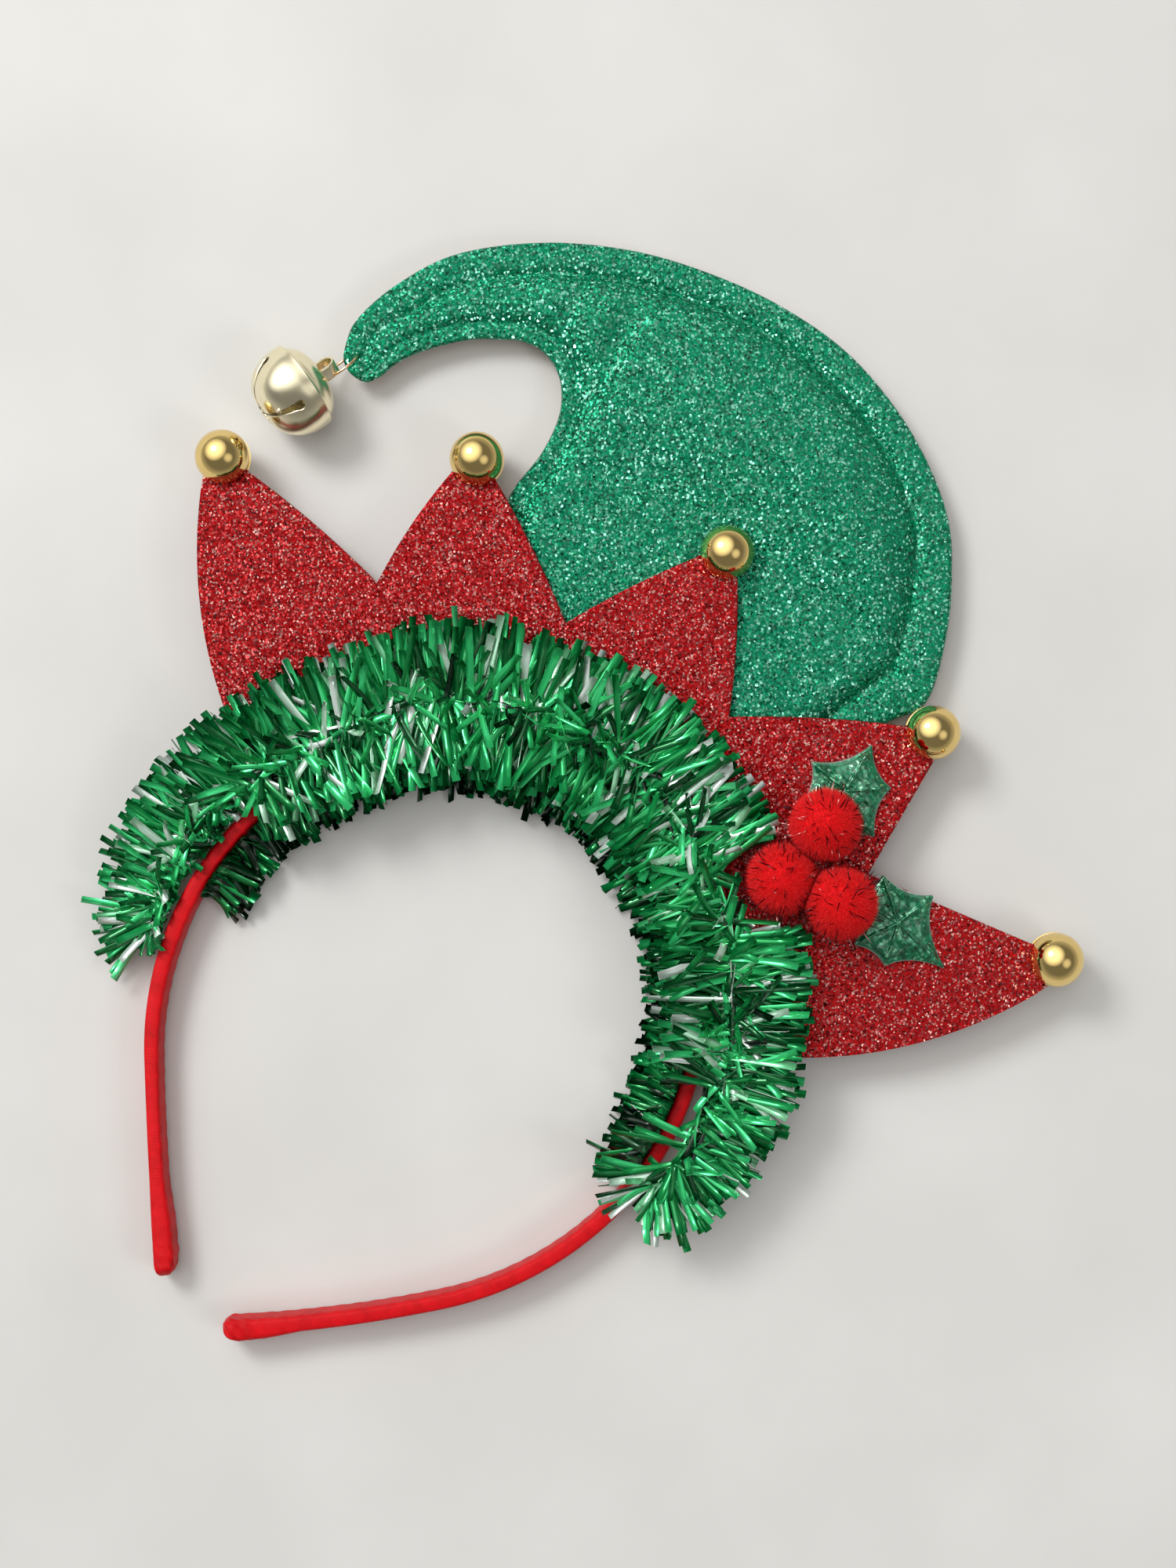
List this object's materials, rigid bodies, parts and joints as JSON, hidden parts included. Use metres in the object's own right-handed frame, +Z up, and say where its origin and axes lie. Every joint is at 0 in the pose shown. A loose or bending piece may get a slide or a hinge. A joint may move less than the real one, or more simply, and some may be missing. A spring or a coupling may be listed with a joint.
{
  "type": "elf hat headband",
  "caption": "Satin covered hair band lying flat, carrying a foil garland, a zigzag glitter brim with gold beads, a padded curled horn hat with a jingle bell, and a holly sprig.",
  "frame": {"origin": "middle of the bounding box, on the table that the headband lies on", "axes": "+Z up out of the front of the hat, +Y from the band's open ends to its crown and the top of the hat, +X across the head"},
  "size_m": [0.2492, 0.2866, 0.033],
  "materials": {
    "band_satin": "bright red satin stretched over a plastic strip",
    "brim_glitter": "red glitter on foam sheet",
    "hat_glitter": "green glitter cloth, padded",
    "garland_foil": "metallised green foil strips",
    "gold_beads": "mirror gold plating",
    "gold_wire": "gold plated wire",
    "bell_metal": "satin pale gold plating",
    "pompom_fuzz": "bright red fuzz with a few shiny bristles",
    "leaf_vinyl": "padded embossed green vinyl with a shimmer"
  },
  "bodies": {
    "root": {"headband": "band_satin", "brim": "brim_glitter", "hat": "hat_glitter", "tinsel": "garland_foil", "bead_front_1": "gold_beads", "bead_front_2": "gold_beads", "bead_front_3": "gold_beads", "bead_front_4": "gold_beads", "bead_front_5": "gold_beads", "bead_back_1": "gold_beads", "bead_back_2": "gold_beads", "bead_back_4": "gold_beads", "bead_back_5": "gold_beads", "jump_ring": "gold_wire", "bell": "bell_metal", "bell_pellet": "bell_metal", "pompom_1": "pompom_fuzz", "pompom_2": "pompom_fuzz", "pompom_3": "pompom_fuzz", "holly_leaf_1": "leaf_vinyl", "holly_leaf_2": "leaf_vinyl"}
  },
  "joints": []
}
